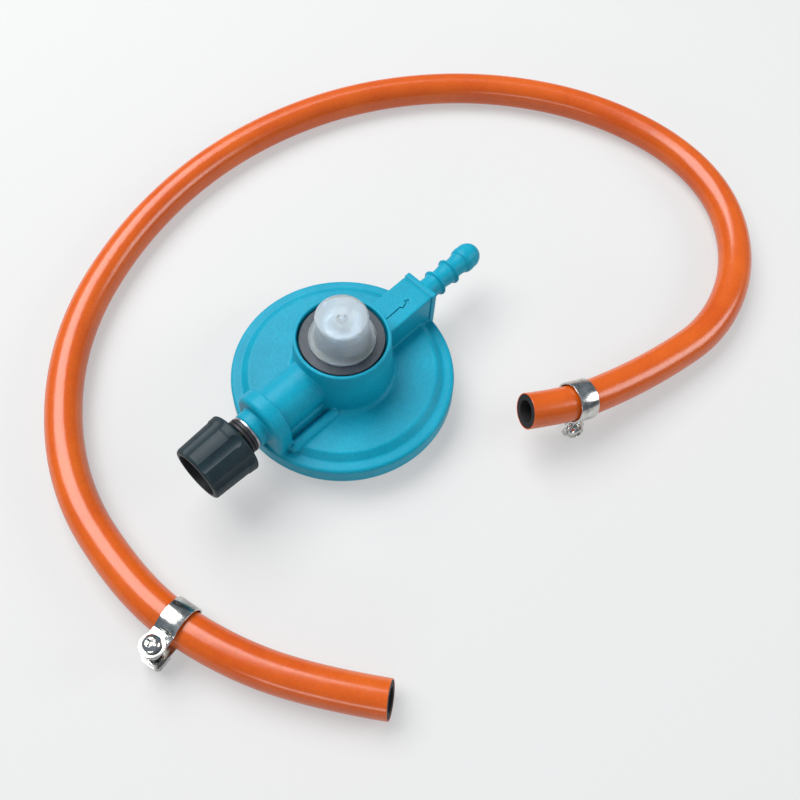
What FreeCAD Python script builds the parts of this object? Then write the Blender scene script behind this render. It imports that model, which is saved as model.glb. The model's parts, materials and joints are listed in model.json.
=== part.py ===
import FreeCAD, Part
import math
import os

# Low-pressure gas regulator with an M16 spigot, a tap, an outlet barb, a loose
# length of gas hose and two bolt-type hose clamps.
#
# Frame: the regulator lies upside down on its cover, spigot up. The origin is on
# the regulator's round axis where the cover rests. +Z is up through the spigot
# and +X runs out through the hose barb. The tap knob points to -X. Millimetres.

V = FreeCAD.Vector
X_AXIS = V(1, 0, 0)
Y_AXIS = V(0, 1, 0)
Z_AXIS = V(0, 0, 1)
MINUS_X = V(-1, 0, 0)

# ---- driving dimensions: housing ----
RIM_R = 40.7            # round rim of the body
RIM_TOP_Z = 13.4
RIM_LAND_R = 36.5       # inner edge of the flat land on the rim
PLATEAU_R = 33.8
PLATEAU_Z = 15.7
TOWER_R = 17.0          # tower round the spigot, at its top
TOWER_FOOT_R = 18.2
TOWER_Z = 36.4
GASKET_SEAT_R = 15.65
GASKET_SEAT_Z = 33.0
CHAMBER_R = 31.5        # gas chamber above the diaphragm
CHAMBER_TOP_Z = 13.2
SEAM_Z = 8.0            # plane where the diaphragm is clamped
SEAM_R = 38.2           # inside of the crimped skirt
COVER_FLANGE_Z = 6.9
COVER_FLANGE_T = 1.3
COVER_FLOOR_R = 29.5
COVER_WALL = 1.5
OUTLET_Z = 20.5         # height of the outlet's axis

# ---- driving dimensions: inlet ----
SPIGOT_R = 8.0          # M16 x 1.5
THREAD_PITCH = 1.5
THREAD_DEPTH = 0.92
SPIGOT_TOP_Z = 44.6
NOSE_R = 3.4
NOSE_TOP_Z = 46.6
INLET_BORE_R = 3.0
GASKET_R = 15.0
GASKET_TOP_Z = 35.5
CAP_Z = 35.6            # underside of the dust cap
CAP_TOP_Z = 48.5
CAP_FLANGE_R = 11.7
CAP_WALL_R = 9.4        # at its foot
CAP_CROWN_R = 9.1

# ---- driving dimensions: outlet ----
BLOCK_HALF_W = 6.8
BLOCK_TOP_Z = 27.5
BLOCK_END_X = 38.3
PLATE_X = 38.9
PLATE_END_X = 41.5
PLATE_HALF_W = 7.1
OUTLET_BORE_R = 2.2
BARB_TIP_X = 71.2
BARB_RIDGES_X = (48.9, 56.5)
BARB_RIDGE_R = 5.2
GROOVE_DEPTH = 0.8

# ---- driving dimensions: tap, with distances out along -X ----
TAP_Y = 1.0             # the tap's axis runs a little to one side of the spigot's
TAP_Z = 23.5
SEAT_D = 8.0
TAP_BORE_R = 4.0
ARM_R = 8.5
ARM_HALF_W = 7.7        # the arm's straight sides, under its round top
WEB_HALF_W = 8.6        # the wider foot under them
WEB_Z = 18.5
COLLAR_R = 10.7
COLLAR_D = (33.6, 39.4)
COLLAR_ROUND = 2.0
NECK_R = 6.7
NECK_END_D = 43.7
GLAND_BORE_R = 4.05
GLAND_D = (35.1, 44.5)
WIPER_END_D = 47.2
KNOB_D = (48.5, 66.0)
KNOB_BACK_R = 11.25
KNOB_FRONT_R = 10.25
KNOB_FLUTES = 8
STEM_R = 3.0
STEM_THREAD_R = 3.98

# ---- driving dimensions: diaphragm and lever ----
POST_R = 2.5
POST_NECK_R = 1.5
LEVER_PIVOT_X = -14.0
NOZZLE_X = -20.5
LEVER_Z = 11.5          # middle of the lever's sheet
LEVER_T = 0.8

SPRING_TURNS = 2.5

# ---- driving dimensions: hose and clamps ----
HOSE_R = 6.5            # 13 mm outside
LINER_R = 6.1           # black rubber, under a thin orange cover
HOSE_BORE_R = 4.0       # 8 mm bore
BAND_BORE_R = 6.95
BAND_T = 0.65
BAND_W = 7.6
EAR_FACE = 4.2          # inner face of each ear, from the band's centre plane
EAR_OUT = 14.6
SCREW_OUT = 11.0        # screw axis, out from the hose's axis
SCREW_R = 2.0           # M4
WASHER_R = 4.3

# The hose's middle line, end to end, chosen by hand as it lies on the table. Near
# its first end it stands on a clamp band, and its last end is propped up by the lug
# of the clamp there, which hangs down to the table.
HOSE_Z_BAND = BAND_T + HOSE_R
HOSE_ROUTE = [
    V(-70, -92, HOSE_Z_BAND),
    V(-84, -72, HOSE_Z_BAND),
    V(-97, -44, HOSE_Z_BAND),
    V(-104, -10, HOSE_Z_BAND),
    V(-96, 41, HOSE_R),
    V(-61, 86, HOSE_R),
    V(-9, 111, HOSE_R),
    V(46, 118, HOSE_R),
    V(101, 106, HOSE_R),
    V(147, 76, HOSE_R),
    V(178, 34, HOSE_R),
    V(189, -11, HOSE_R),
    V(181, -48, HOSE_R),
    V(155, -75, HOSE_R),
    V(121, -86, HOSE_R),
    V(88, -80.5, 8.6),
    V(58, -72.5, 13.3),
    V(42.5, -66, 16.6),
    V(31.5, -59.5, 19.1),
]
# Each clamp sits at the middle of one run of the route: name, run, where its lug
# points (degrees up from level, on the left of the run), and how far the band's
# middle stands above the hose's, as the band is loose.
CLAMPS = [("clamp_a", 2, 8.0, BAND_BORE_R - HOSE_R), ("clamp_b", 16, -90.0, 0.3)]


# ---- helpers ----
def outline(points):
    """A closed flat wire in the XZ plane. (u, v) is a corner; (um, vm, u, v) is an
    arc through (um, vm) to (u, v)."""
    edges = []
    start = V(points[0][0], 0, points[0][1])
    here = start
    for item in points[1:]:
        there = V(item[-2], 0, item[-1])
        if there.distanceToPoint(here) < 1e-6:
            continue
        if len(item) == 4:
            edges.append(Part.Arc(here, V(item[0], 0, item[1]), there).toShape())
        else:
            edges.append(Part.LineSegment(here, there).toShape())
        here = there
    if here.distanceToPoint(start) > 1e-6:
        edges.append(Part.LineSegment(here, start).toShape())
    return Part.Wire(edges)


def turned(points):
    """A solid turned about Z from an outline of (radius, height)."""
    return Part.Face(outline(points)).revolve(V(0, 0, 0), Z_AXIS, 360)


def ring(inner, outer, low, high, edge=0.0):
    """A plain ring about Z, with its outer edges broken by a small chamfer."""
    return turned([(inner, low), (outer - edge, low), (outer, low + edge),
                   (outer, high - edge), (outer - edge, high), (inner, high)])


def disc(radius, low, high, edge=0.0):
    return ring(0, radius, low, high, edge)


def box(low, high):
    size = V(*high).sub(V(*low))
    return Part.makeBox(size.x, size.y, size.z, V(*low))


def placed_at(shape, where):
    placed = shape.copy()
    placed.Placement = where.multiply(shape.Placement)
    return placed


def on_tap_axis(shape):
    """Lays a shape made about Z onto the tap's axis, its height out along -X."""
    return placed_at(shape, FreeCAD.Placement(V(0, TAP_Y, TAP_Z), FreeCAD.Rotation(Z_AXIS, MINUS_X)))


def on_outlet_axis(shape):
    """Lays a shape made about Z onto the outlet's axis, its height out along +X."""
    return placed_at(shape, FreeCAD.Placement(V(0, 0, OUTLET_Z), FreeCAD.Rotation(Z_AXIS, X_AXIS)))


def moved(shape, offset):
    placed = shape.copy()
    placed.translate(offset)
    return placed


def softened(shape, radius, chosen):
    """Fillets the edges that chosen(edge) picks."""
    edges = [edge for edge in shape.Edges if chosen(edge)]
    return shape.makeFillet(radius, edges)


def on_level(edge, height):
    """True for an edge that lies in the horizontal plane at this height."""
    return abs(edge.BoundBox.ZMin - height) < 0.01 and edge.BoundBox.ZLength < 0.01


def hexagon(across_corners, low, high):
    corners = []
    for step in range(7):
        angle = math.radians(60 * step)
        half = across_corners / 2
        corners.append(V(half * math.cos(angle), half * math.sin(angle), low))
    return Part.Face(Part.makePolygon(corners)).extrude(V(0, 0, high - low))


def cross_recess(half_length, half_width, depth, face_z):
    """A Phillips-type cross cut down into a face."""
    arm_a = box((-half_length, -half_width, face_z - depth), (half_length, half_width, face_z + 1))
    arm_b = box((-half_width, -half_length, face_z - depth), (half_width, half_length, face_z + 1))
    return arm_a.fuse(arm_b)


def threaded_outline(radius, low, high, pitch, depth):
    """Radius and height of ridges that stand for an external thread."""
    points = []
    turns = int((high - low) / pitch)
    for turn in range(turns):
        base = low + turn * pitch
        points.append((radius - depth, base))
        points.append((radius - depth, base + 0.125 * pitch))
        points.append((radius, base + 0.5 * pitch))
        points.append((radius, base + 0.625 * pitch))
    points.append((radius - depth, low + turns * pitch))
    return points


# ---- body casting ----
def body_shell():
    lip_z = COVER_FLANGE_Z - COVER_FLANGE_T
    shell = turned([
        (0, CHAMBER_TOP_Z), (CHAMBER_R - 2, CHAMBER_TOP_Z),
        (CHAMBER_R, CHAMBER_TOP_Z - 2), (CHAMBER_R, SEAM_Z), (SEAM_R, SEAM_Z), (SEAM_R, lip_z),
        (SEAM_R - 1.0, lip_z),
        (SEAM_R - 1.0, lip_z - 0.6), (SEAM_R - 0.4, lip_z - 0.9),
        (RIM_R - 0.5, lip_z - 0.1, RIM_R, SEAM_Z),
        (RIM_R, RIM_TOP_Z - 1.3), (RIM_R - 0.38, RIM_TOP_Z - 0.38, RIM_R - 1.3, RIM_TOP_Z),
        (RIM_LAND_R + 0.5, RIM_TOP_Z),
        (RIM_LAND_R + 0.1, RIM_TOP_Z + 0.12, RIM_LAND_R - 0.3, RIM_TOP_Z + 0.5),
        (PLATEAU_R + 1.0, PLATEAU_Z - 0.55),
        (PLATEAU_R + 0.5, PLATEAU_Z - 0.15, PLATEAU_R - 0.6, PLATEAU_Z),
        (TOWER_FOOT_R + 1.8, PLATEAU_Z),
        (TOWER_FOOT_R + 0.5, PLATEAU_Z + 0.55, TOWER_FOOT_R - 0.1, PLATEAU_Z + 2.0),
        (TOWER_R, TOWER_Z - 0.5), (TOWER_R - 0.15, TOWER_Z - 0.15, TOWER_R - 0.5, TOWER_Z),
        (GASKET_SEAT_R + 0.3, TOWER_Z), (GASKET_SEAT_R, TOWER_Z - 0.3),
        (GASKET_SEAT_R, GASKET_SEAT_Z), (0, GASKET_SEAT_Z)])
    return shell


def collar_hood():
    """The collar at the arm's end: a round arch on straight sides that reach down to
    the rim, with its front outline rounded off."""
    low, high = RIM_TOP_Z - 3, TAP_Z
    left, right = TAP_Y + COLLAR_R, TAP_Y - COLLAR_R
    back = -COLLAR_D[0]
    arch = Part.Wire([
        Part.LineSegment(V(back, left, low), V(back, left, high)).toShape(),
        Part.Arc(V(back, left, high), V(back, TAP_Y, high + COLLAR_R), V(back, right, high)).toShape(),
        Part.LineSegment(V(back, right, high), V(back, right, low)).toShape(),
        Part.LineSegment(V(back, right, low), V(back, left, low)).toShape()])
    hood = Part.Face(arch).extrude(V(COLLAR_D[0] - COLLAR_D[1], 0, 0))
    front = -COLLAR_D[1] + 0.01
    return softened(hood, COLLAR_ROUND, lambda e: e.BoundBox.XMax < front and e.BoundBox.ZMax > low + 0.01)


def tap_arm():
    arm = on_tap_axis(disc(ARM_R, 12, COLLAR_D[0] + 1))
    neck = on_tap_axis(disc(NECK_R, COLLAR_D[1] - 1, NECK_END_D, 0.6))
    back, front = -COLLAR_D[0] - 1, -12
    sides = box((back, TAP_Y - ARM_HALF_W, RIM_TOP_Z), (front, TAP_Y + ARM_HALF_W, TAP_Z))
    web = box((back, TAP_Y - WEB_HALF_W, RIM_TOP_Z), (front, TAP_Y + WEB_HALF_W, WEB_Z))
    web = softened(web, 0.6, lambda e: on_level(e, WEB_Z) and e.BoundBox.YLength < 0.01)
    rib_low = V(-COLLAR_D[0], -10.7, 15.5)
    rib_high = V(-14.5, -11.2, 15.5)
    rib = Part.makeCylinder(2.3, rib_low.distanceToPoint(rib_high), rib_low, rib_high.sub(rib_low))
    rib = rib.fuse(Part.makeSphere(2.3, rib_low))
    return [arm, collar_hood(), neck, sides, web, rib]


def barb_outline():
    """Radius and distance out of the hose barb: two thin ridges, then a blunt tip."""
    points = [(0, PLATE_END_X - 1), (4.6, PLATE_END_X - 1), (4.35, PLATE_END_X + 0.6)]
    for middle in BARB_RIDGES_X:
        shoulder = BARB_RIDGE_R - 0.25
        points += [(4.1, middle - 2.4), (4.2, middle - 0.9), (4.4, middle - 0.65), (shoulder, middle - 0.45),
                   (BARB_RIDGE_R, middle, shoulder, middle + 0.45), (4.25, middle + 0.65),
                   (3.95, middle + 0.95), (3.85, middle + 3.0)]
    points += [(4.05, 61.4), (4.2, 62.6), (4.8, 63.0), (5.1, 64.6, 4.95, 66.2),
               (4.55, 69.0, 3.2, BARB_TIP_X - 0.3), (2.8, BARB_TIP_X), (0, BARB_TIP_X)]
    return points


def outlet_block():
    block = box((13, -BLOCK_HALF_W, RIM_TOP_Z), (BLOCK_END_X, BLOCK_HALF_W, BLOCK_TOP_Z))
    block = softened(block, 0.6, lambda e: on_level(e, BLOCK_TOP_Z) and e.BoundBox.YLength < 0.01)
    bridge = box((BLOCK_END_X - 1, GROOVE_DEPTH - BLOCK_HALF_W, RIM_TOP_Z - 2),
                 (PLATE_X + 1, BLOCK_HALF_W - GROOVE_DEPTH, BLOCK_TOP_Z - GROOVE_DEPTH))
    plate = box((PLATE_X, -PLATE_HALF_W, RIM_TOP_Z - 3.4), (PLATE_END_X, PLATE_HALF_W, BLOCK_TOP_Z + 0.2))
    plate = softened(plate, 0.5, lambda e: e.BoundBox.ZMin > RIM_TOP_Z - 3 or e.BoundBox.ZLength > 10)
    return [block, bridge, plate, on_outlet_axis(turned(barb_outline()))]


def flow_arrow():
    """A shallow groove on the outlet block: a stepped line with a head that points
    to the barb."""
    depth = 0.35
    low = BLOCK_TOP_Z - depth
    strokes = [((18.6, -1.7), (27.6, -1.6)), ((27.6, -1.6), (28.1, -2.5)), ((28.1, -2.5), (32.0, -1.4)),
               ((32.0, -1.4), (30.7, -0.9)), ((32.0, -1.4), (31.3, -2.5))]
    cutter = None
    for start, end in strokes:
        a, b = V(start[0], start[1], low), V(end[0], end[1], low)
        length = a.distanceToPoint(b)
        bar = Part.makeBox(length + 0.3, 0.45, depth + 1, V(-0.15, -0.225, 0))
        bar.Placement = FreeCAD.Placement(a, FreeCAD.Rotation(X_AXIS, b.sub(a)))
        cutter = bar if cutter is None else cutter.fuse(bar)
    return cutter


def lever_lugs():
    """Two lugs under the chamber's roof that hold the lever's pin."""
    lugs = []
    for side in (-1, 1):
        low_y, high_y = sorted((side * 3.2, side * 5.0))
        lugs.append(box((LEVER_PIVOT_X - 2.2, low_y, LEVER_Z - 1.7),
                        (LEVER_PIVOT_X + 2.2, high_y, CHAMBER_TOP_Z + 0.5)))
    return lugs


def gas_chamber():
    """The space above the diaphragm, under the body's roof."""
    return turned([(0, SEAM_Z - 1), (CHAMBER_R, SEAM_Z - 1), (CHAMBER_R, CHAMBER_TOP_Z - 2),
                   (CHAMBER_R - 2, CHAMBER_TOP_Z), (0, CHAMBER_TOP_Z)])


def body_bores():
    bores = [disc(6.0, 24.0, TOWER_Z),
             disc(INLET_BORE_R, 20.0, 25.0),
             on_tap_axis(disc(1.6, 1.0, SEAT_D + 1)),
             on_tap_axis(disc(TAP_BORE_R, SEAT_D, GLAND_D[0])),
             on_tap_axis(disc(5.2, GLAND_D[0], NECK_END_D + 2)),
             moved(disc(2.5, 14.2, TAP_Z), V(NOZZLE_X, 0, 0)),
             moved(disc(3.6, CHAMBER_TOP_Z - 1, 14.2), V(NOZZLE_X, 0, 0)),
             moved(disc(2.5, CHAMBER_TOP_Z - 1, OUTLET_Z), V(25.5, 0, 0)),
             on_outlet_axis(disc(OUTLET_BORE_R, 23.5, BARB_TIP_X + 1)),
             Part.makeCylinder(1.0, 12, V(LEVER_PIVOT_X, -6, LEVER_Z), Y_AXIS)]
    return bores


def body_casting():
    solid = body_shell().multiFuse(tap_arm() + outlet_block()).cut(gas_chamber())
    solid = solid.multiFuse(lever_lugs())
    solid = solid.cut(Part.makeCompound(body_bores()))
    solid = solid.cut(flow_arrow())
    return solid.removeSplitter()


# ---- cover side ----
def cover():
    flange_low = COVER_FLANGE_Z - COVER_FLANGE_T
    lip_r = SEAM_R - 1.0
    dish = turned([
        (14.0, 0), (COVER_FLOOR_R, 0), (34.4, 1.5, lip_r - 0.6, flange_low - 1.0), (lip_r - 0.3, flange_low),
        (SEAM_R - 0.1, flange_low), (SEAM_R - 0.1, COVER_FLANGE_Z), (33.6, COVER_FLANGE_Z),
        (32.4, 3.4, COVER_FLOOR_R - 1.0, COVER_WALL), (15.6, COVER_WALL), (15.6, 3.0), (14.0, 3.0)])
    vent = disc(1.5, -1, COVER_WALL + 1)
    return dish.cut(moved(vent, V(22, 9, 0)))


def adjusting_plug():
    plug = disc(14.0, 0.0, 2.6)
    plug = plug.fuse(ring(7.6, 9.4, 2.4, 3.6))
    for side in (-1, 1):
        plug = plug.cut(moved(disc(1.25, -1, 1.6), V(side * 9.0, 0, 0)))
    return plug


def vent_screen():
    return moved(disc(1.5, 0.5, 1.0), V(22, 9, 0))


def diaphragm():
    low = COVER_FLANGE_Z
    return turned([
        (POST_R, 8.2), (21.6, 8.2), (22.6, 8.3), (27.0, 10.4, 30.4, SEAM_Z - 0.6), (31.6, low),
        (SEAM_R - 0.1, low),
        (SEAM_R - 0.1, SEAM_Z), (31.0, SEAM_Z), (27.0, 11.3, 22.6, 9.2), (21.6, 9.2), (POST_R, 9.2)])


def diaphragm_plate():
    return ring(POST_R, 11.5, 9.2, 10.0, 0.2)


def spring_cup():
    return turned([(POST_R, 8.2), (21.0, 8.2), (21.0, 7.4), (14.4, 7.4), (14.4, 6.4), (13.6, 6.4),
                   (13.6, 7.4), (POST_R, 7.4)])


def diaphragm_post():
    return turned([(0, 6.6), (4.0, 6.6), (4.0, 7.4), (POST_R, 7.4), (POST_R, 10.6), (POST_NECK_R, 10.6),
                   (POST_NECK_R, 12.35), (POST_R, 12.35), (POST_R, 12.9), (0, 12.9)])


def main_spring():
    """An open coil. Its wire follows short runs joined by tangent arcs."""
    wire_r, mean_r, low, high = 0.6, 11.8, 3.2, 6.8
    steps = int(SPRING_TURNS * 12)
    route = []
    for step in range(steps + 1):
        angle = 2 * math.pi * step / 12
        height = low + (high - low) * step / steps
        route.append(V(mean_r * math.cos(angle), mean_r * math.sin(angle), height))
    return swept(rounded_path(route)[0], wire_r)


# ---- valve and lever ----
def nozzle():
    jet = turned([(0.8, 13.35), (1.5, 13.35), (2.5, 14.2), (2.5, 16.4), (0.8, 16.4)])
    return moved(jet, V(NOZZLE_X, 0, 0))


def lever():
    low, high = LEVER_Z - LEVER_T / 2, LEVER_Z + LEVER_T / 2
    blade = box((NOZZLE_X - 2.8, -2.6, low), (2.2, 2.6, high))
    fork = box((-2.2, -POST_NECK_R - 0.12, low - 1), (3, POST_NECK_R + 0.12, high + 1))
    hub = Part.makeCylinder(1.6, 5.6, V(LEVER_PIVOT_X, -2.8, LEVER_Z), Y_AXIS)
    bore = Part.makeCylinder(1.05, 8, V(LEVER_PIVOT_X, -4, LEVER_Z), Y_AXIS)
    return blade.cut(fork).fuse(hub).cut(bore).removeSplitter()


def lever_pin():
    return Part.makeCylinder(1.0, 10.0, V(LEVER_PIVOT_X, -5.0, LEVER_Z), Y_AXIS)


def valve_pad():
    return moved(disc(2.4, LEVER_Z + LEVER_T / 2, 12.45, 0.15), V(NOZZLE_X, 0, 0))


# ---- inlet ----
def spigot():
    thread_low = GASKET_TOP_Z + 0.5
    outer = [(INLET_BORE_R - 0.8, 24.2), (6.0, 24.2), (6.0, GASKET_SEAT_Z), (9.0, GASKET_SEAT_Z),
             (9.0, GASKET_TOP_Z - 0.2), (SPIGOT_R - THREAD_DEPTH, GASKET_TOP_Z - 0.2)]
    outer += threaded_outline(SPIGOT_R, thread_low, SPIGOT_TOP_Z - 0.2, THREAD_PITCH, THREAD_DEPTH)
    outer += [(6.6, SPIGOT_TOP_Z), (NOSE_R + 0.4, SPIGOT_TOP_Z), (NOSE_R, SPIGOT_TOP_Z + 0.4),
              (NOSE_R, NOSE_TOP_Z - 0.3), (NOSE_R - 0.3, NOSE_TOP_Z), (INLET_BORE_R - 0.8, NOSE_TOP_Z)]
    return turned(outer)


def opening_pin():
    pin = turned([(0, 30.2), (INLET_BORE_R - 0.8, 30.2), (INLET_BORE_R - 0.8, 32.2), (1.1, 32.8),
                  (1.1, NOSE_TOP_Z + 0.2), (0.8, NOSE_TOP_Z + 0.5), (0, NOSE_TOP_Z + 0.5)])
    for side in (-1, 1):
        pin = pin.cut(box((-3, side * 1.9 - 0.7, 30), (3, side * 1.9 + 0.7, 32.5)))
    return pin


def inlet_filter():
    return disc(INLET_BORE_R - 0.8, 28.0, 30.2)


def spigot_gasket():
    return turned([(9.0, GASKET_SEAT_Z), (GASKET_R, GASKET_SEAT_Z), (GASKET_R, GASKET_TOP_Z - 0.4),
                   (GASKET_R - 0.12, GASKET_TOP_Z - 0.12, GASKET_R - 0.4, GASKET_TOP_Z), (9.0, GASKET_TOP_Z)])


def dust_cap():
    """A thin cup with a lipped flange, a slightly wider crown and a moulding nub."""
    inner_top = CAP_TOP_Z - 0.9
    flange_z = CAP_Z + 0.7
    crown_z = CAP_TOP_Z - 3.2
    flange = [(CAP_FLANGE_R - 0.1, CAP_Z), (CAP_FLANGE_R, CAP_Z + 0.3), (CAP_FLANGE_R, flange_z + 0.2),
              (CAP_FLANGE_R - 0.2, flange_z + 0.4), (CAP_FLANGE_R - 0.5, flange_z)]
    wall = [(CAP_WALL_R + 0.4, flange_z), (CAP_WALL_R, flange_z + 0.4), (CAP_CROWN_R - 0.1, crown_z - 0.2),
            (CAP_CROWN_R + 0.1, crown_z + 0.2), (CAP_CROWN_R, CAP_TOP_Z - 0.8),
            (CAP_CROWN_R - 0.25, CAP_TOP_Z - 0.2, CAP_CROWN_R - 0.85, CAP_TOP_Z)]
    nub = [(1.0, CAP_TOP_Z), (0.8, CAP_TOP_Z + 0.35), (0, CAP_TOP_Z + 0.35)]
    inside = [(0, inner_top), (8.0, inner_top), (8.35, inner_top - 0.4)]
    return turned([(8.6, CAP_Z)] + flange + wall + nub + inside)


# ---- tap ----
def tap_plunger():
    plunger = hexagon(2 * (TAP_BORE_R - 0.06), SEAT_D + 1.0, 24.0)
    front = disc(3.4, SEAT_D + 0.7, SEAT_D + 1.6)
    pocket = disc(2.6, SEAT_D, SEAT_D + 1.9)
    back = disc(2.0, 20.0, 25.0)
    return on_tap_axis(plunger.fuse(front).cut(pocket).cut(back).removeSplitter())


def plunger_pad():
    return on_tap_axis(disc(2.6, SEAT_D + 0.05, SEAT_D + 1.9, 0.1))


def tap_stem():
    tail = KNOB_D[1] - 6.0
    thread_low, thread_high = GLAND_D[0] + 1.8, GLAND_D[1] - 0.8
    return on_tap_axis(turned([
        (0, 20.3), (1.95, 20.3), (1.95, 24.4), (3.0, 24.4), (3.0, 26.0), (3.9, 26.2), (3.9, 28.4),
        (2.6, 28.4), (2.6, 30.4), (3.9, 30.4), (3.9, 32.4), (3.4, 32.8), (3.4, thread_low - 0.6),
        (STEM_THREAD_R, thread_low), (STEM_THREAD_R, thread_high), (3.4, thread_high + 0.6),
        (STEM_R, thread_high + 0.6), (STEM_R, tail), (1.25, tail), (1.25, tail - 7.0), (0, tail - 7.0)]))


def stem_o_ring():
    torus = Part.makeTorus(3.2, 0.6, V(0, 0, 29.4), Z_AXIS)
    return on_tap_axis(torus)


def gland_nut():
    nut = turned([(GLAND_BORE_R, GLAND_D[0]), (5.2, GLAND_D[0]), (5.2, NECK_END_D), (6.4, NECK_END_D),
                  (6.4, GLAND_D[1] - 0.2), (6.2, GLAND_D[1]), (GLAND_BORE_R, GLAND_D[1])])
    return on_tap_axis(nut)


def wiper_ring():
    low = GLAND_D[1]
    return on_tap_axis(turned([
        (5.2, low), (6.3, low), (6.6, low + 0.3), (6.6, low + 1.1), (6.3, low + 1.35), (6.6, low + 1.6),
        (6.6, WIPER_END_D - 0.3), (6.3, WIPER_END_D), (5.2, WIPER_END_D)]))


def tap_knob():
    back, front = KNOB_D
    body = turned([
        (0, back), (KNOB_BACK_R - 1.0, back), (KNOB_BACK_R - 0.25, back + 0.3, KNOB_BACK_R, back + 1.1),
        (KNOB_BACK_R, back + 3.2), (KNOB_BACK_R - 0.35, back + 4.0), (KNOB_FRONT_R + 0.1, front - 1.4),
        (KNOB_FRONT_R - 0.25, front - 0.4, KNOB_FRONT_R - 1.1, front), (0, front)])
    flutes = []
    for index in range(KNOB_FLUTES):
        angle = math.radians(360.0 * (index + 0.5) / KNOB_FLUTES)
        reach = KNOB_BACK_R + 3.75
        foot = V(reach * math.cos(angle), reach * math.sin(angle), back + 3.4)
        lean = V(-0.045 * math.cos(angle), -0.045 * math.sin(angle), 1)
        flute = Part.makeCylinder(4.6, 20, foot, lean)
        flutes.append(flute.fuse(Part.makeSphere(4.6, foot)))
    body = body.cut(Part.makeCompound(flutes))
    recess = turned([(0, front - 5.6), (8.0, front - 5.6), (8.3, front + 1), (0, front + 1)])
    hub = disc(4.6, front - 6.0, front - 4.2)
    body = body.cut(recess).fuse(hub).cut(disc(STEM_R, back - 1, front - 6.0))
    body = body.cut(disc(1.6, front - 7, front + 1))
    return on_tap_axis(body.removeSplitter())


def knob_screw():
    seat = KNOB_D[1] - 4.2
    screw = turned([(0, seat - 8.6), (1.25, seat - 8.6), (1.25, seat), (2.9, seat), (2.9, seat + 0.9),
                    (2.2, seat + 1.7, 0, seat + 1.9)])
    return on_tap_axis(screw.cut(cross_recess(1.5, 0.3, 1.0, seat + 1.9)))


# ---- hose ----
def rounded_path(points):
    """Straight runs joined by tangent arcs as large as the runs allow."""
    edges = []
    here = points[0]
    radii = []
    for index in range(1, len(points) - 1):
        before = points[index - 1].sub(points[index])
        after = points[index + 1].sub(points[index])
        shorter = min(before.Length, after.Length)
        half_turn = (math.pi - before.getAngle(after)) / 2
        trim = 0.45 * shorter
        radius = trim / math.tan(half_turn)
        radii.append(radius)
        start = points[index] + before.normalize() * trim
        end = points[index] + after.normalize() * trim
        bisector = (before + after).normalize()
        middle = points[index] + bisector * (radius / math.cos(half_turn) - radius)
        edges.append(Part.LineSegment(here, start).toShape())
        edges.append(Part.Arc(start, middle, end).toShape())
        here = end
    edges.append(Part.LineSegment(here, points[-1]).toShape())
    return Part.Wire(edges), radii


def swept(path, radius):
    start = path.Edges[0]
    foot = start.valueAt(start.FirstParameter)
    heading = start.tangentAt(start.FirstParameter)
    section = Part.Wire(Part.makeCircle(radius, foot, heading))
    return path.makePipeShell([section], True, False)


def hose_parts():
    path, radii = rounded_path(HOSE_ROUTE)
    liner_skin = swept(path, LINER_R)
    jacket = swept(path, HOSE_R).cut(liner_skin)
    liner = liner_skin.cut(swept(path, HOSE_BORE_R))
    expected = math.pi * (HOSE_R ** 2 - LINER_R ** 2) * path.Length
    print("hose arc radii", [round(r) for r in radii], "length", round(path.Length, 1))
    print("jacket volume over section x length", round(jacket.Volume / expected, 4))
    return {"hose_jacket": jacket, "hose_liner": liner}


# ---- hose clamps: made with the hose along X, the lug to +Y, the screw along Z ----
def clamp_band():
    outer = BAND_BORE_R + BAND_T
    half_w = BAND_W / 2
    band = Part.makeCylinder(outer, BAND_W, V(-half_w, 0, 0), X_AXIS)
    band = band.cut(Part.makeCylinder(BAND_BORE_R, BAND_W + 2, V(-half_w - 1, 0, 0), X_AXIS))
    band = band.cut(box((-half_w - 1, 0, -EAR_FACE), (half_w + 1, outer + 1, EAR_FACE)))
    for side in (-1, 1):
        low_z, high_z = sorted((side * EAR_FACE, side * (EAR_FACE + BAND_T)))
        root = math.sqrt(BAND_BORE_R ** 2 - EAR_FACE ** 2)
        ear = box((-half_w, root - 0.6, low_z), (half_w, EAR_OUT, high_z))
        ear = ear.cut(Part.makeCylinder(BAND_BORE_R, BAND_W + 2, V(-half_w - 1, 0, 0), X_AXIS))
        ear = softened(ear, 2.0, lambda e: e.BoundBox.YMin > EAR_OUT - 0.01 and e.BoundBox.ZLength > 0.1)
        band = band.fuse(ear)
    for side in (-1, 1):
        low_x, high_x = sorted((side * half_w, side * (half_w - BAND_T)))
        tab = box((low_x, SCREW_OUT - 2.6, -EAR_FACE - BAND_T - 1.6), (high_x, SCREW_OUT + 2.6, -EAR_FACE))
        band = band.fuse(tab)
    hole = moved(disc(SCREW_R + 0.2, -EAR_FACE - 2, EAR_FACE + 2), V(0, SCREW_OUT, 0))
    return band.cut(hole).removeSplitter()


def clamp_screw():
    seat = EAR_FACE + BAND_T + 0.9
    tip = -EAR_FACE - BAND_T - 2.4
    screw = turned([(0, tip), (SCREW_R - 0.35, tip), (SCREW_R - 0.05, tip + 0.4), (SCREW_R - 0.05, seat),
                    (2.95, seat), (3.0, seat + 1.5), (2.3, seat + 2.15, 0, seat + 2.4)])
    return moved(screw.cut(cross_recess(1.7, 0.4, 1.3, seat + 2.4)), V(0, SCREW_OUT, 0))


def clamp_washer():
    low = EAR_FACE + BAND_T
    return moved(ring(SCREW_R, WASHER_R, low, low + 0.9, 0.15), V(0, SCREW_OUT, 0))


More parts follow.
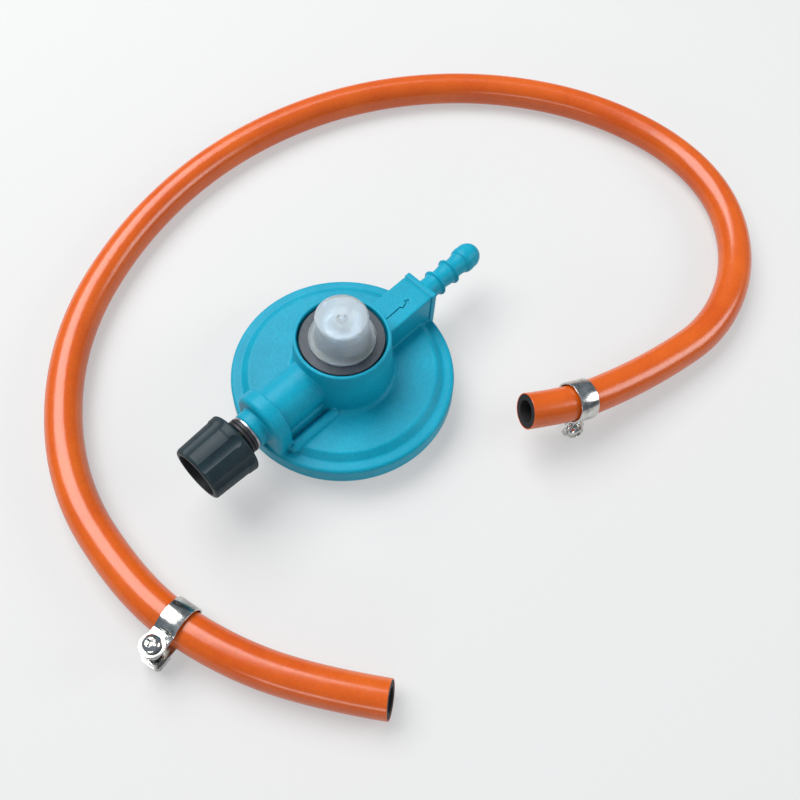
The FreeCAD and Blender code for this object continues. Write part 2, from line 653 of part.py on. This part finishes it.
def clamp_nut():
    high = -EAR_FACE - BAND_T
    half = BAND_W / 2 - BAND_T
    nut = box((-half, -half, high - 2.0), (half, half, high))
    nut = softened(nut, 0.5, lambda e: e.BoundBox.ZLength > 1)
    return moved(nut.cut(disc(SCREW_R, high - 3, high + 1)), V(0, SCREW_OUT, 0))


def clamp_placement(run, lug_angle, lift):
    start, end = HOSE_ROUTE[run], HOSE_ROUTE[run + 1]
    along = end.sub(start).normalize()
    side = Z_AXIS.cross(along).normalize()
    up = along.cross(side)
    angle = math.radians(lug_angle)
    lug = side * math.cos(angle) + up * math.sin(angle)
    turn = FreeCAD.Rotation(along, lug, along.cross(lug), "XYZ")
    return FreeCAD.Placement((start + end) * 0.5 + up * lift, turn)


def clamp_parts():
    pieces = {}
    makers = {"band": clamp_band, "screw": clamp_screw, "washer": clamp_washer, "nut": clamp_nut}
    for name, run, lug_angle, lift in CLAMPS:
        where = clamp_placement(run, lug_angle, lift)
        screw_axis = where.Rotation.multVec(Z_AXIS)
        screw_foot = where.multVec(V(0, SCREW_OUT, 0))
        print(name, "screw axis", screw_axis, "through", screw_foot)
        for piece, make in makers.items():
            pieces[name + "_" + piece] = placed_at(make(), where)
    return pieces


# ---- every node ----
def all_parts():
    makers = [body_casting, cover, adjusting_plug, vent_screen, diaphragm, diaphragm_plate, spring_cup,
              diaphragm_post, main_spring, nozzle, lever, lever_pin, valve_pad, spigot, opening_pin,
              inlet_filter, spigot_gasket, dust_cap, tap_plunger, plunger_pad, tap_stem, stem_o_ring,
              gland_nut, wiper_ring, tap_knob, knob_screw]
    parts = {make.__name__: make() for make in makers}
    parts.update(hose_parts())
    parts.update(clamp_parts())
    return parts


def main():
    os.makedirs("parts", exist_ok=True)
    for name, shape in all_parts().items():
        if not shape.isValid() or len(shape.Solids) != 1:
            print("CHECK", name, "valid", shape.isValid(), "solids", len(shape.Solids))
        shape.exportStep("parts/" + name + ".step")


main()
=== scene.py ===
import json
import math

import bmesh
import bpy
from mathutils import Matrix, Vector

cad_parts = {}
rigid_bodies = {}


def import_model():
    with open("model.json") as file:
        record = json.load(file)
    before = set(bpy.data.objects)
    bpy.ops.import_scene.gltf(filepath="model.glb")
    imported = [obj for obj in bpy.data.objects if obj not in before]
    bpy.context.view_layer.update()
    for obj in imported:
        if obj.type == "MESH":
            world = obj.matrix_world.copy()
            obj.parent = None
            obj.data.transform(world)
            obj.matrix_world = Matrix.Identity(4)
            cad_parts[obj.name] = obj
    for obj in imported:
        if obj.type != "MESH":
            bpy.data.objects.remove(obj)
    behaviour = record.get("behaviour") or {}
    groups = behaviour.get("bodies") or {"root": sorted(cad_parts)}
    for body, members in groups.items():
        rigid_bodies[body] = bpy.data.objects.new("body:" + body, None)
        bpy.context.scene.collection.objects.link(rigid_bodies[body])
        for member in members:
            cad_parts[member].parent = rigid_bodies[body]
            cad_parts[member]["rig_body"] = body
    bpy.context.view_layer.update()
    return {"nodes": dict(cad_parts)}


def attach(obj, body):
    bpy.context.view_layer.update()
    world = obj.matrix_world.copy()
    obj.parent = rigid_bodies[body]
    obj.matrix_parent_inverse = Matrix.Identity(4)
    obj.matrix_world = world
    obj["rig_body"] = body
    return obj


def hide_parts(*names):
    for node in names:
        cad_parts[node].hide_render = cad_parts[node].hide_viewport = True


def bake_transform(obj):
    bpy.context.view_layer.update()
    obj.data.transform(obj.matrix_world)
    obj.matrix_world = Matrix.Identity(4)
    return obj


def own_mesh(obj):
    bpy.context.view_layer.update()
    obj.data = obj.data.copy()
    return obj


# The looks of a camping-gas regulator, its dust cap, a loose orange hose and two
# hose clamps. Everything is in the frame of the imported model, in metres.

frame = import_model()
NODES = frame["nodes"]
MM = 0.001

# ---- camera ----
CAMERA_AT = Vector((-113.1, -119.8, 289.6)) * MM
CAMERA_HEADING = math.radians(50.9)     # turned from +Y towards +X
CAMERA_PITCH = math.radians(60.96)      # below the horizon
CAMERA_ROLL = math.radians(5.22)
CAMERA_LENS = 39.58

# ---- flow arrow, cut into the flat top of the outlet block ----
BLOCK_TOP_Z = 27.5 * MM
ARROW_WIDTH = 0.55 * MM
ARROW_DEPTH = 0.45 * MM
ARROW_STROKES = [((18.6, -1.7), (27.6, -1.6)), ((27.6, -1.6), (28.1, -2.5)), ((28.1, -2.5), (32.0, -1.4)),
                 ((32.0, -1.4), (30.7, -0.9)), ((32.0, -1.4), (31.3, -2.5))]   # mm

CUTTER_RISE = 2.0 * MM      # how far a cutter stands out of the block

# ---- casting ----
CASTING_GRAIN = 0.3 * MM    # voxel size, which sets how round its corners are
CASTING_ROUNDS = 3
CRISP_FROM_X = 34.0 * MM    # the outlet plate and the barb keep sharper edges
CRISP_SHARE = 0.15

# ---- knob ----
PAINTED_SHADE_DEPTH = 2.0 * MM     # what lies deeper than this in the knob's open end is painted black, as painted shade

# ---- clamps ----
CLAMP_EDGES = {"band": 0.12 * MM, "nut": 0.2 * MM, "screw": 0.15 * MM, "washer": 0.12 * MM}
BEVEL_FROM = math.radians(32)   # sharper corners than this are broken

# ---- light ----
TABLE_MIDDLE = Vector((0.04, 0.01, 0.0))
FLOOR_GLOW = 0.42
SKY_TINT = (0.80, 0.93, 1.10)
SKY_STEPS = [(0.0, 0.18), (0.5, 0.26), (1.0, 0.32)]     # sine of the height, level
LAMPS = [("key", (-0.02, 0.60, 0.97), 1.1, 0.8, 20.0), ("side", (0.65, -0.65, 0.48), 0.5, 0.35, 3.5),
         ("strip", (-0.57, -0.40, 0.22), 0.5, 0.05, 0.9)]     # name, place, width, height, watts
FLOOR_REACH = 6.0

# ---- hose ----
HOSE_R = 6.5 * MM
LINER_R = 6.1 * MM
HOSE_BORE_R = 4.0 * MM
LOW_Z = 6.5 * MM            # middle of the hose where it lies on the table
BAND_Z = 7.15 * MM          # and where it stands on a clamp band
HOSE_ROUTE = [
    (-0.070, -0.092, BAND_Z), (-0.084, -0.072, BAND_Z), (-0.097, -0.044, BAND_Z),
    (-0.104, -0.010, BAND_Z), (-0.096, 0.041, LOW_Z), (-0.061, 0.086, LOW_Z),
    (-0.009, 0.111, LOW_Z), (0.046, 0.118, LOW_Z), (0.101, 0.106, LOW_Z),
    (0.147, 0.076, LOW_Z), (0.178, 0.034, LOW_Z), (0.189, -0.011, LOW_Z),
    (0.181, -0.048, LOW_Z), (0.155, -0.075, LOW_Z), (0.121, -0.086, LOW_Z),
    (0.088, -0.0805, 0.0086), (0.058, -0.0725, 0.0133), (0.0425, -0.066, 0.0166),
    (0.0315, -0.0595, 0.0191)]
CUT_EDGE = 0.12 * MM        # rounding of the jacket's cut edges
LINER_EDGE = 0.1 * MM
LINER_GAP = 0.02 * MM
CUT_REACH = 3.0 * MM        # no ring of the hose comes closer to its ends than this
LOW_CUT = math.tan(math.radians(9))     # the hand cuts lean back from square
RIGHT_CUT = math.tan(math.radians(2))


# ---- materials ----
def srgb(red, green, blue):
    """A colour given as 0 to 255, as linear light."""
    linear = []
    for value in (red, green, blue):
        share = value / 255
        linear.append(share / 12.92 if share <= 0.04045 else ((share + 0.055) / 1.055) ** 2.4)
    return (*linear, 1.0)


class Material:
    """A Principled material with helpers for its colour and relief nodes."""

    def __init__(self, name, **sockets):
        self.material = bpy.data.materials.new(name)
        self.material.use_nodes = True
        self.tree = self.material.node_tree
        self.shader = self.tree.nodes["Principled BSDF"]
        for socket, value in sockets.items():
            self.shader.inputs[socket.replace("_", " ")].default_value = value
        self.place = self.add("ShaderNodeTexCoord").outputs["Object"]

    def add(self, kind, **values):
        made = self.tree.nodes.new(kind)
        for key, value in values.items():
            if hasattr(made, key):
                setattr(made, key, value)
            else:
                made.inputs[key.replace("_", " ")].default_value = value
        return made

    def link(self, source, target):
        self.tree.links.new(source, target)

    def noise(self, scale, detail=3.0, roughness=0.55, stretch=None):
        """Noise whose scale is in features per metre, and which stretch pulls out."""
        made = self.add("ShaderNodeTexNoise", Scale=scale, Detail=detail, Roughness=roughness)
        place = self.place
        if stretch:
            mapping = self.add("ShaderNodeMapping")
            mapping.inputs["Scale"].default_value = stretch
            self.link(place, mapping.inputs["Vector"])
            place = mapping.outputs["Vector"]
        self.link(place, made.inputs["Vector"])
        return made.outputs["Fac"]

    def ramp(self, source, *stops):
        """A colour ramp of (position, colour) stops."""
        made = self.add("ShaderNodeValToRGB")
        elements = made.color_ramp.elements
        while len(elements) < len(stops):
            elements.new(0.5)
        for element, (position, colour) in zip(elements, stops):
            element.position = position
            element.color = colour
        self.link(source, made.inputs["Fac"])
        return made.outputs["Color"]

    def mix(self, share, first, second, blend="MIX"):
        """Two colours or sockets, blended by share."""
        made = self.add("ShaderNodeMix", data_type="RGBA", blend_type=blend)
        for value, socket in ((share, made.inputs[0]), (first, made.inputs[6]), (second, made.inputs[7])):
            if isinstance(value, bpy.types.NodeSocket):
                self.link(value, socket)
            else:
                socket.default_value = value
        return made.outputs[2]

    def vary(self, socket, source, low, high):
        """Sends source, 0 to 1, to a shader socket as low to high."""
        made = self.add("ShaderNodeMapRange")
        made.inputs["To Min"].default_value = low
        made.inputs["To Max"].default_value = high
        self.link(source, made.inputs["Value"])
        self.link(made.outputs["Result"], self.shader.inputs[socket])

    def colour(self, source):
        self.link(source, self.shader.inputs["Base Color"])

    def relief(self, *layers):
        """Bump from (source, height in metres) layers."""
        normal = None
        for source, height in layers:
            bump = self.add("ShaderNodeBump", Strength=1.0, Distance=height)
            self.link(source, bump.inputs["Height"])
            if normal:
                self.link(normal, bump.inputs["Normal"])
            normal = bump.outputs["Normal"]
        self.link(normal, self.shader.inputs["Normal"])


def body_paint():
    """Satin blue paint over a die casting: soft orange peel, a visible fine grain
    and a slow drift of tone."""
    made = Material("body_paint", Roughness=0.42, Specular_IOR_Level=0.2)
    grain = made.noise(1500, 3, 0.6)
    tone = made.ramp(made.noise(70, 2), (0.3, srgb(2, 143, 169)), (0.72, srgb(8, 154, 180)))
    speck = made.ramp(grain, (0.32, (0.80, 0.84, 0.86, 1)), (0.62, (1, 1, 1, 1)))
    made.colour(made.mix(1.0, tone, speck, "MULTIPLY"))
    made.vary("Roughness", made.noise(700, 3), 0.36, 0.52)
    made.relief((made.noise(420, 2), 0.00010), (grain, 0.00010))
    return made.material


def hose_orange():
    """Extruded orange rubber: fine lengthways drift of tone, a soft shine."""
    made = Material("hose_orange", Roughness=0.22, Specular_IOR_Level=0.5)
    tone = made.ramp(made.noise(35, 3, 0.6), (0.3, srgb(194, 77, 14)), (0.7, srgb(209, 94, 22)))
    dust = made.ramp(made.noise(900, 5, 0.7), (0.35, (0.88, 0.88, 0.88, 1)), (0.65, (1, 1, 1, 1)))
    made.colour(made.mix(1.0, tone, dust, "MULTIPLY"))
    made.vary("Roughness", made.noise(260, 4), 0.17, 0.28)
    made.relief((made.noise(160, 2), 0.00006), (made.noise(3000, 3), 0.00001))
    return made.material


def dark_rubber(name, low, high, roughness):
    """Matt rubber or plastic, from its darkest tone to its lightest."""
    made = Material(name, Roughness=roughness, Specular_IOR_Level=0.45)
    made.colour(made.ramp(made.noise(600, 4), (0.3, low), (0.7, high)))
    made.vary("Roughness", made.noise(900, 3), roughness - 0.08, roughness + 0.1)
    made.relief((made.noise(2400, 4, 0.7), 0.00002))
    return made.material


def knob_plastic():
    """Dark slate moulded plastic with a fine spark-eroded texture."""
    made = Material("knob_plastic", Roughness=0.5, Specular_IOR_Level=0.32)
    tone = made.ramp(made.noise(240, 3), (0.3, srgb(12, 34, 41)), (0.7, srgb(22, 45, 52)))
    grime = made.ramp(made.noise(1500, 3), (0.35, (0.82, 0.82, 0.82, 1)), (0.6, (1, 1, 1, 1)))
    made.colour(made.mix(1.0, tone, grime, "MULTIPLY"))
    made.vary("Roughness", made.noise(1500, 3), 0.42, 0.6)
    made.relief((made.noise(2300, 4, 0.65), 0.00005))
    return made.material


def cap_polythene():
    """Natural polyethylene: milky, mostly clear, faintly blue, with shallow ribs."""
    made = Material("cap_polythene", Roughness=0.36, IOR=1.25, Specular_IOR_Level=0.5,
                    Transmission_Weight=0.72, Subsurface_Weight=1.0)
    made.shader.inputs["Subsurface Radius"].default_value = (0.0030, 0.0032, 0.0036)
    made.shader.inputs["Subsurface Scale"].default_value = 1.0
    made.colour(made.ramp(made.noise(180, 3), (0.3, srgb(223, 239, 251)), (0.7, srgb(234, 245, 253))))
    made.vary("Roughness", made.noise(800, 3), 0.30, 0.42)
    ribs = made.add("ShaderNodeTexWave", wave_type="BANDS", bands_direction="Z", Scale=210.0)
    made.link(made.place, ribs.inputs["Vector"])
    made.relief((ribs.outputs["Fac"], 0.00012), (made.noise(1200, 3), 0.00002))
    return made.material


def plated_steel(name, low, high, roughness, stretch=None):
    """Bright zinc or nickel plate, with fine rolling lines and cloudy patches."""
    made = Material(name, Metallic=1.0, Roughness=roughness)
    made.colour(made.ramp(made.noise(260, 4), (0.3, low), (0.7, high)))
    made.vary("Roughness", made.noise(700, 4, 0.7, stretch), roughness - 0.07, roughness + 0.12)
    made.relief((made.noise(1800, 3, 0.6, stretch), 0.000012), (made.noise(300, 2), 0.00004))
    return made.material


def gasket_rubber():
    """Dark grey rubber with faint moulded rings round the spigot."""
    made = Material("gasket_rubber", Roughness=0.46, Specular_IOR_Level=0.5)
    made.colour(made.ramp(made.noise(500, 4), (0.3, srgb(36, 44, 53)), (0.7, srgb(47, 56, 66))))
    rings = made.add("ShaderNodeTexWave", wave_type="RINGS", rings_direction="Z", Scale=420.0,
                     Distortion=0.4)
    made.link(made.place, rings.inputs["Vector"])
    made.vary("Roughness", made.noise(900, 3), 0.38, 0.56)
    made.relief((rings.outputs["Fac"], 0.00002), (made.noise(2400, 4), 0.00002))
    return made.material


def gauze():
    """Woven wire, as two crossed sets of lines."""
    made = Material("gauze", Metallic=1.0, Roughness=0.35)
    lines = []
    for direction in ("X", "Y"):
        wave = made.add("ShaderNodeTexWave", bands_direction=direction, Scale=900.0)
        made.link(made.place, wave.inputs["Vector"])
        lines.append(wave.outputs["Fac"])
    weave = made.mix(0.5, lines[0], lines[1])
    made.colour(made.ramp(weave, (0.35, (0.05, 0.05, 0.05, 1)), (0.65, (0.6, 0.6, 0.6, 1))))
    made.relief((weave, 0.0001))
    return made.material


PAINT = body_paint()
ORANGE = hose_orange()
LINER = dark_rubber("hose_black", srgb(13, 12, 14), srgb(24, 22, 24), 0.7)
RUBBER = dark_rubber("black_rubber", srgb(20, 21, 23), srgb(34, 35, 38), 0.5)
GASKET = gasket_rubber()
KNOB = knob_plastic()
# painted shade: a near-black material that stands for the shade inside the knob's hollow
HOLLOW_PAINTED_SHADE = dark_rubber("knob_inside_painted_shade", srgb(6, 12, 14), srgb(12, 20, 23), 0.6)
CAP = cap_polythene()
CLAMP = plated_steel("clamp_steel", (0.30, 0.30, 0.27, 1), (0.80, 0.80, 0.78, 1), 0.16, (1, 1, 0.2))
ZINC = plated_steel("zinc_steel", (0.6, 0.61, 0.62, 1), (0.74, 0.75, 0.77, 1), 0.28)
NICKEL = plated_steel("nickel", (0.36, 0.37, 0.39, 1), (0.48, 0.49, 0.50, 1), 0.34)
SPRING = plated_steel("spring_steel", (0.4, 0.41, 0.43, 1), (0.56, 0.57, 0.59, 1), 0.3)
ALUMINIUM = plated_steel("aluminium", (0.72, 0.73, 0.74, 1), (0.82, 0.83, 0.84, 1), 0.33, (6, 6, 0.3))
BRASS = plated_steel("brass", (0.62, 0.44, 0.17, 1), (0.76, 0.57, 0.26, 1), 0.24, (0.3, 0.3, 6))
BRONZE = plated_steel("sintered_bronze", (0.4, 0.24, 0.11, 1), (0.56, 0.36, 0.2, 1), 0.55)
GAUZE = gauze()


# ---- mesh helpers ----
def new_piece(name, mesh, material, slot, body, *replaced):
    """Links a mesh as a piece of the object, riding on a body."""
    piece = bpy.data.objects.new(name, mesh)
    bpy.context.scene.collection.objects.link(piece)
    mesh.materials.clear()
    mesh.materials.append(material)
    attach(piece, body)
    if replaced:
        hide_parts(*replaced)
    return piece


def cleaned_copy(node, name):
    """A CAD node's mesh with its seams merged and its flat faces made whole."""
    mesh = NODES[node].data.copy()
    mesh.name = name
    build = bmesh.new()
    build.from_mesh(mesh)
    bmesh.ops.remove_doubles(build, verts=build.verts, dist=0.000001)
    bmesh.ops.dissolve_limit(build, angle_limit=math.radians(0.5), verts=build.verts, edges=build.edges)
    build.to_mesh(mesh)
    build.free()
    if "custom_normal" in mesh.attributes:
        mesh.attributes.remove(mesh.attributes["custom_normal"])
    return mesh


def apply_modifiers(piece):
    """Leaves the piece with its modified mesh and no modifiers."""
    bpy.context.view_layer.update()
    graph = bpy.context.evaluated_depsgraph_get()
    baked = bpy.data.meshes.new_from_object(piece.evaluated_get(graph))
    old = piece.data
    piece.modifiers.clear()
    piece.data = baked
    bpy.data.meshes.remove(old)


def soften_casting():
    """The body casting with the rounded inner and outer corners of a die casting."""
    piece = new_piece("body_casting_soft", cleaned_copy("body_casting", "casting"), PAINT,
                      "body_paint", "root", "body_casting")
    remesh = piece.modifiers.new("grain", "REMESH")
    remesh.mode = "VOXEL"
    remesh.voxel_size = CASTING_GRAIN
    apply_modifiers(piece)
    softness = piece.vertex_groups.new(name="softness")
    crisp = [vertex.index for vertex in piece.data.vertices if vertex.co.x > CRISP_FROM_X]
    soft = [vertex.index for vertex in piece.data.vertices if vertex.co.x <= CRISP_FROM_X]
    softness.add(crisp, CRISP_SHARE, "REPLACE")
    softness.add(soft, 1.0, "REPLACE")
    smooth = piece.modifiers.new("soften", "SMOOTH")
    smooth.factor = 0.5
    smooth.iterations = CASTING_ROUNDS
    smooth.vertex_group = "softness"
    cutters = [arrow_cutter(start, end) for start, end in ARROW_STROKES]
    for cutter in cutters:
        cut = piece.modifiers.new("arrow", "BOOLEAN")
        cut.object = cutter
        cut.solver = "MANIFOLD"
    apply_modifiers(piece)
    for cutter in cutters:
        bpy.data.objects.remove(cutter)
    piece.data.shade_smooth()
    piece.data.set_sharp_from_angle(angle=math.radians(50))


def arrow_cutter(start, end):
    """A bar that stands in the block's top, along one stroke of the flow arrow."""
    start = Vector((*start, 0)) * MM
    end = Vector((*end, 0)) * MM
    along = (end - start).normalized()
    side = Vector((-along.y, along.x, 0)) * ARROW_WIDTH / 2
    start = start - along * ARROW_WIDTH / 2
    end = end + along * ARROW_WIDTH / 2
    build = bmesh.new()
    low, high = [], []
    for corner in (start - side, end - side, end + side, start + side):
        low.append(build.verts.new((corner.x, corner.y, BLOCK_TOP_Z - ARROW_DEPTH)))
        high.append(build.verts.new((corner.x, corner.y, BLOCK_TOP_Z + CUTTER_RISE)))
    build.faces.new(low[::-1])
    build.faces.new(high)
    for index in range(4):
        following = (index + 1) % 4
        build.faces.new((low[index], low[following], high[following], high[index]))
    mesh = bpy.data.meshes.new("stroke")
    build.to_mesh(mesh)
    build.free()
    cutter = bpy.data.objects.new("stroke", mesh)
    bpy.context.scene.collection.objects.link(cutter)
    return cutter


def bevelled(node, material, slot, width):
    """A CAD node's shape with its edges broken, as a piece that stands for it."""
    body = NODES[node]["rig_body"]
    piece = new_piece(node + "_edged", cleaned_copy(node, node + "_mesh"), material, slot, body, node)
    bevel = piece.modifiers.new("edges", "BEVEL")
    bevel.width = width
    bevel.segments = 3
    bevel.limit_method = "ANGLE"
    bevel.angle_limit = BEVEL_FROM
    bevel.harden_normals = False
    apply_modifiers(piece)
    piece.data.shade_smooth()
    piece.data.set_sharp_from_angle(angle=math.radians(40))
    return piece


# ---- hose ----
def route_line():
    """The hose's middle line: a NURBS spline through the route, read as points."""
    data = bpy.data.curves.new("hose_line", "CURVE")
    data.dimensions = "3D"
    spline = data.splines.new("NURBS")
    spline.points.add(len(HOSE_ROUTE) - 1)
    for point, place in zip(spline.points, HOSE_ROUTE):
        point.co = (*place, 1.0)
    spline.order_u = 3
    spline.use_endpoint_u = True
    spline.resolution_u = 24
    carrier = bpy.data.objects.new("hose_line", data)
    line = bpy.data.meshes.new_from_object(carrier)
    points = [vertex.co.copy() for vertex in line.vertices]
    bpy.data.objects.remove(carrier)
    return points


def frames_along(points):
    """(point, tangent, side, up) with up kept near +Z, for a line that lies flat."""
    found = []
    for index, point in enumerate(points):
        before = points[max(index - 1, 0)]
        after = points[min(index + 1, len(points) - 1)]
        tangent = (after - before).normalized()
        side = tangent.cross(Vector((0, 0, 1))).normalized()
        found.append((point, tangent, side, side.cross(tangent)))
    return found


def lathe_along(frames, profile, around=72):
    """A closed ring-shaped solid: profile is (index along frames, radius, offset
    along the tangent, lean) and goes out along the outside and back along the
    inside. A ring that leans has its top set back along the tangent."""
    build = bmesh.new()
    rings = []
    for index, radius, offset, lean in profile:
        point, tangent, side, up = frames[index]
        ring = []
        for step in range(around):
            angle = 2 * math.pi * step / around
            spoke = side * math.cos(angle) + up * math.sin(angle)
            shift = offset + lean * radius * math.sin(angle)
            ring.append(build.verts.new(point + tangent * shift + spoke * radius))
        rings.append(ring)
    for first, second in zip(rings, rings[1:] + rings[:1]):
        for step in range(around):
            following = (step + 1) % around
            build.faces.new((first[step], first[following], second[following], second[step]))
    bmesh.ops.recalc_face_normals(build, faces=build.faces)
    mesh = bpy.data.meshes.new("tube")
    build.to_mesh(mesh)
    build.free()
    mesh.shade_smooth()
    mesh.set_sharp_from_angle(angle=math.radians(40))
    return mesh


def tube_profile(points, inner, outer, edge):
    """Outside from end to end with slightly rounded, leaning cut faces, then back
    inside."""
    last = len(points) - 1
    clear = [index for index, point in enumerate(points)
             if (point - points[0]).length > CUT_REACH and (point - points[last]).length > CUT_REACH]
    profile = [(0, outer - edge, 0.0, LOW_CUT), (0, outer, edge, LOW_CUT)]
    profile += [(index, outer, 0.0, 0.0) for index in clear]
    profile += [(last, outer, -edge, -RIGHT_CUT), (last, outer - edge, 0.0, -RIGHT_CUT)]
    profile += [(last, inner + edge, 0.0, -RIGHT_CUT), (last, inner, -edge, -RIGHT_CUT)]
    profile += [(index, inner, 0.0, 0.0) for index in reversed(clear)]
    profile += [(0, inner, edge, LOW_CUT), (0, inner + edge, 0.0, LOW_CUT)]
    return profile


def make_hose():
    """Jacket and liner, as two tubes along one route."""
    points = route_line()
    frames = frames_along(points)
    jacket_shape = lathe_along(frames, tube_profile(points, LINER_R, HOSE_R, CUT_EDGE))
    jacket = new_piece("hose_jacket_tube", jacket_shape, ORANGE, "hose_orange", "root", "hose_jacket")
    liner_profile = tube_profile(points, HOSE_BORE_R, LINER_R - LINER_GAP, LINER_EDGE)
    liner_shape = lathe_along(frames, liner_profile, 56)
    liner = new_piece("hose_liner_tube", liner_shape, LINER, "hose_black", "root", "hose_liner")


# ---- CAD nodes that keep their shape ----
KEPT = {
    "cover": PAINT, "adjusting_plug": ZINC, "vent_screen": GAUZE,
    "nozzle": BRASS, "lever_pin": ZINC, "spigot": NICKEL, "opening_pin": ZINC,
    "inlet_filter": BRONZE, "spigot_gasket": GASKET, "gland_nut": NICKEL, "wiper_ring": RUBBER,
    "diaphragm_plate": ALUMINIUM, "spring_cup": ZINC, "diaphragm_post": ALUMINIUM, "lever": ZINC,
    "valve_pad": RUBBER, "dust_cap": CAP, "tap_plunger": BRASS, "plunger_pad": RUBBER,
    "tap_stem": BRASS, "stem_o_ring": RUBBER, "tap_knob": KNOB, "knob_screw": ZINC}


def dress_kept_nodes():
    for name, material in KEPT.items():
        mesh = NODES[name].data
        mesh.materials.clear()
        mesh.materials.append(material)
    paint_hollow_shade(NODES["tap_knob"].data)


def paint_hollow_shade(mesh):
    """Inward-facing walls of the knob, and the floor of its hollow, painted black: painted shade for the
    inside of the hollow.
    """
    mesh.materials.append(HOLLOW_PAINTED_SHADE)
    heights = [vertex.co.z for vertex in mesh.vertices]
    widths = [vertex.co.y for vertex in mesh.vertices]
    front = min(vertex.co.x for vertex in mesh.vertices)
    axis = Vector((0, (min(widths) + max(widths)) / 2, (min(heights) + max(heights)) / 2))
    for polygon in mesh.polygons:
        spoke = polygon.center - axis
        spoke.x = 0
        inward = polygon.normal.dot(spoke) < -0.5 * spoke.length
        recessed = polygon.normal.x < -0.7 and polygon.center.x > front + PAINTED_SHADE_DEPTH
        if inward or recessed:
            polygon.material_index = 1


def make_spring():
    """The main spring's coil, as a smooth-shaded piece that stands for the CAD node."""
    coil = new_piece("main_spring_coil", cleaned_copy("main_spring", "coil"), SPRING, "spring_steel",
                     "root", "main_spring")
    coil.data.shade_smooth()
    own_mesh(coil)


def make_diaphragm():
    """The rubber sheet, as a smooth-shaded copy that stands for the CAD node."""
    mesh = cleaned_copy("diaphragm", "sheet")
    mesh.materials.clear()
    mesh.materials.append(RUBBER)
    mesh.shade_smooth()
    mesh.set_sharp_from_angle(angle=math.radians(40))
    sheet = bpy.data.objects.new("diaphragm_sheet", mesh)
    bpy.context.scene.collection.objects.link(sheet)
    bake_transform(sheet)
    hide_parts("diaphragm")


# ---- stage ----
def make_stage():
    """A wide sheet of pale paper under the object."""
    reach = FLOOR_REACH
    floor_mesh = bpy.data.meshes.new("floor")
    floor_mesh.from_pydata([(-reach, -reach, 0), (reach, -reach, 0), (reach, reach, 0), (-reach, reach, 0)],
                           [], [(0, 1, 2, 3)])
    floor = bpy.data.objects.new("floor", floor_mesh)
    paper = Material("paper", Roughness=0.95, Specular_IOR_Level=0.1, Emission_Strength=FLOOR_GLOW)
    paper.shader.inputs["Emission Color"].default_value = (1, 1, 1, 1)
    paper.colour(paper.ramp(paper.noise(400, 2), (0.3, (0.30, 0.297, 0.29, 1)),
                            (0.7, (0.305, 0.302, 0.295, 1))))
    floor_mesh.materials.append(paper.material)
    bpy.context.scene.collection.objects.link(floor)
    bpy.context.scene.view_settings.view_transform = "Standard"


def make_world():
    """A dim, slightly blue studio, so that the lamps shape the object."""
    world = bpy.data.worlds.new("studio")
    bpy.context.scene.world = world
    world.use_nodes = True
    tree = world.node_tree
    place = tree.nodes.new("ShaderNodeTexCoord")
    split = tree.nodes.new("ShaderNodeSeparateXYZ")
    tree.links.new(place.outputs["Generated"], split.inputs["Vector"])
    ramp = tree.nodes.new("ShaderNodeValToRGB")
    elements = ramp.color_ramp.elements
    while len(elements) < len(SKY_STEPS):
        elements.new(0.5)
    for element, (height, level) in zip(elements, SKY_STEPS):
        element.position = height
        element.color = (*(level * share for share in SKY_TINT), 1)
    tree.links.new(split.outputs["Z"], ramp.inputs["Fac"])
    background = tree.nodes["Background"]
    tree.links.new(ramp.outputs["Color"], background.inputs["Color"])


def soft_light(name, place, width, height, power):
    """A rectangular soft box that faces the middle of the table."""
    data = bpy.data.lights.new(name, "AREA")
    data.shape = "RECTANGLE"
    data.size = width
    data.size_y = height
    data.energy = power
    lamp = bpy.data.objects.new(name, data)
    lamp.location = place
    lamp.rotation_mode = "QUATERNION"
    lamp.rotation_quaternion = (TABLE_MIDDLE - Vector(place)).to_track_quat("-Z", "Y")
    bpy.context.scene.collection.objects.link(lamp)


def make_camera():
    """The camera that looks at the object from its knob side."""
    ahead = Vector((math.sin(CAMERA_HEADING) * math.cos(CAMERA_PITCH),
                    math.cos(CAMERA_HEADING) * math.cos(CAMERA_PITCH), -math.sin(CAMERA_PITCH)))
    level = ahead.to_track_quat("-Z", "Y").to_matrix()
    data = bpy.data.cameras.new("camera")
    data.lens = CAMERA_LENS
    camera = bpy.data.objects.new("camera", data)
    turned = level @ Matrix.Rotation(CAMERA_ROLL, 3, "Z")
    camera.matrix_world = Matrix.Translation(CAMERA_AT) @ turned.to_4x4()
    bpy.context.scene.collection.objects.link(camera)
    bpy.context.scene.camera = camera


make_camera()
make_stage()
make_world()
for lamp in LAMPS:
    soft_light(*lamp)
dress_kept_nodes()
make_spring()
make_diaphragm()
soften_casting()
for clamp in ("clamp_a", "clamp_b"):
    for part, width in CLAMP_EDGES.items():
        bevelled(clamp + "_" + part, CLAMP, "clamp_steel", width)
make_hose()
